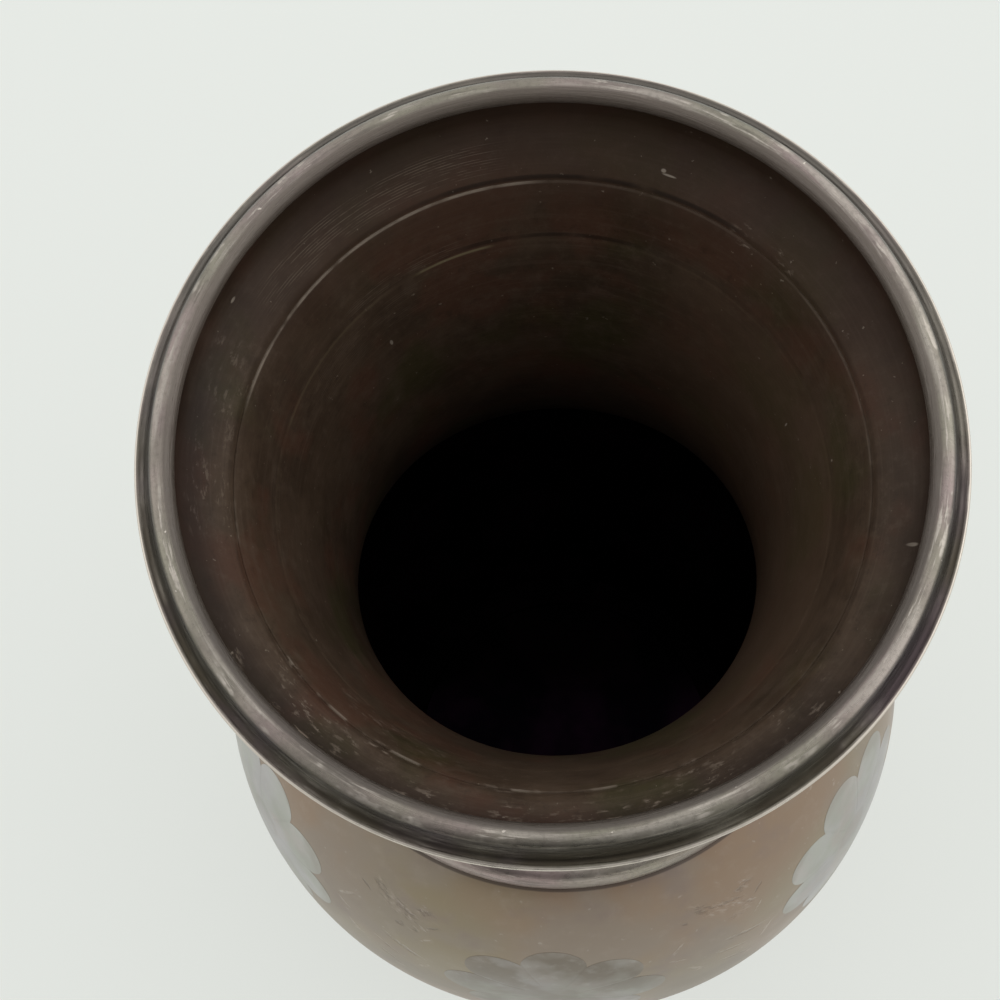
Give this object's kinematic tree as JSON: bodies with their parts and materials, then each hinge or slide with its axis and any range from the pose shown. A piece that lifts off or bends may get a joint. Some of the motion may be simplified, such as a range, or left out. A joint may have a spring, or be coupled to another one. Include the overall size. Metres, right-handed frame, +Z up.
{
  "type": "pottery vase",
  "caption": "Flared-mouth bronze vase with a narrow throat and swelling belly, turned rim band, collar ring, silver flowers and foot ring.",
  "frame": {"origin": "centre of the flat face that the foot ring stands on", "axes": "+Z up along the vase's axis of revolution; X and Y are equal across it"},
  "size_m": [0.142, 0.142, 0.27],
  "materials": {
    "rim_bronze": "dark patinated, brushed round the rim, worn bright at its edges",
    "collar_bronze": "grey-brown patina, satin",
    "neck_bronze": "dark brown patina, turning marks inside",
    "body_bronze": "satin brown patina with faint engraved leaves",
    "base_bronze": "dull brown patina",
    "flower_silver": "satin, lightly tarnished blue-grey",
    "solder": "dull grey"
  },
  "bodies": {
    "root": {"rim_band": "rim_bronze", "rim_solder": "solder", "neck_section": "neck_bronze", "neck_joint_solder": "solder", "collar_ring": "collar_bronze", "body_section": "body_bronze", "base_plate": "base_bronze", "foot_joint_solder": "solder", "foot_ring": "base_bronze", "silver_flower_1": "flower_silver", "silver_flower_2": "flower_silver", "silver_flower_3": "flower_silver", "silver_flower_4": "flower_silver", "silver_flower_5": "flower_silver", "silver_flower_6": "flower_silver"}
  },
  "joints": []
}
